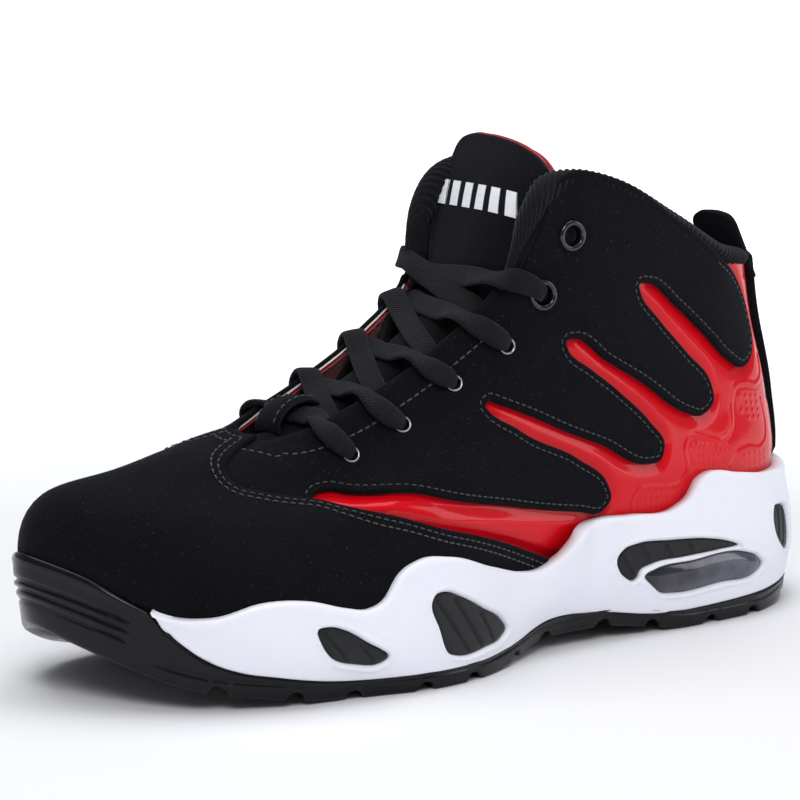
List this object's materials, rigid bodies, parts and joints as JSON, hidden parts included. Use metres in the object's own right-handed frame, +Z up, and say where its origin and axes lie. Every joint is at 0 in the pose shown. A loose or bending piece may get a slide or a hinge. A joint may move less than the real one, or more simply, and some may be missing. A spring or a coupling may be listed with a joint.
{
  "type": "high-top basketball shoe",
  "caption": "Left basketball high top: black panels cut into fingers over a glossy red layer, white midsole with recessed side panels, rubber bumper, flat laces and a padded knit collar.",
  "frame": {"origin": "middle of the shoe's footprint box, on the ground", "axes": "+X towards the heel, +Y towards the inner side (the wearer's right), +Z up"},
  "size_m": [0.3095, 0.1167, 0.1708],
  "materials": {
    "nubuck": "matt black nubuck",
    "patent": "glossy red patent, embossed",
    "foam_sole": "moulded white foam",
    "rubber": "black rubber, satin",
    "insert": "black moulded plastic",
    "air": "clear smoky film",
    "knit": "black ribbed knit",
    "lining": "red mesh lining",
    "foam": "soft foam padding",
    "fibreboard": "pressed fibre",
    "shank_plastic": "stiff black plastic",
    "metal": "dark metal",
    "cord": "flat woven black lace",
    "tip": "glossy black sleeve"
  },
  "bodies": {
    "shoe_body": {"outsole": "rubber", "midsole": "foam_sole", "heel_air_unit": "air", "shank": "shank_plastic", "insole_board": "fibreboard", "toe_puff": "fibreboard", "heel_counter": "fibreboard", "vamp_lining": "lining", "vamp": "nubuck", "heel_strip": "nubuck", "collar_pad": "foam", "collar_binding": "knit", "forefoot_insert_outer": "insert", "midfoot_insert_outer": "insert", "heel_insert_outer": "insert", "rear_insert_outer": "insert", "quarter_outer": "nubuck", "red_panel_outer": "patent", "quarter_foam_outer": "foam", "quarter_lining_outer": "lining", "eyelet_outer_1": "metal", "eyelet_outer_2": "metal", "eyelet_outer_3": "metal", "eyelet_outer_4": "metal", "eyelet_outer_5": "metal", "eyelet_outer_6": "metal", "aglet_outer": "tip", "forefoot_insert_inner": "insert", "midfoot_insert_inner": "insert", "heel_insert_inner": "insert", "rear_insert_inner": "insert", "quarter_inner": "nubuck", "red_panel_inner": "patent", "quarter_foam_inner": "foam", "quarter_lining_inner": "lining", "eyelet_inner_1": "metal", "eyelet_inner_2": "metal", "eyelet_inner_3": "metal", "eyelet_inner_4": "metal", "eyelet_inner_5": "metal", "eyelet_inner_6": "metal", "aglet_inner": "tip", "lace": "cord", "lace_keeper": "nubuck"},
    "tongue": {"tongue_face": "nubuck", "tongue_foam": "foam", "tongue_lining": "lining"},
    "pull_tab": {"heel_pull_tab": "nubuck"},
    "insole": {"sockliner": "lining"}
  },
  "joints": [
    {"name": "tongue_hinge", "type": "hinge", "parent": "shoe_body", "child": "tongue", "pos_m": [-0.0723, -0.0001, 0.0765], "axis": [0, 1, 0], "range_deg": [0, 6], "stiffness_Nm_per_rad": 2},
    {"name": "pull_tab_hinge", "type": "hinge", "parent": "shoe_body", "child": "pull_tab", "pos_m": [0.1439, 0.0039, 0.119], "axis": [0, 1, 0], "range_deg": [0, 35], "stiffness_Nm_per_rad": 0.5},
    {"name": "insole_lift", "type": "slide", "parent": "shoe_body", "child": "insole", "axis": [0, 0, 1], "range_m": [0, 0.012]}
  ]
}
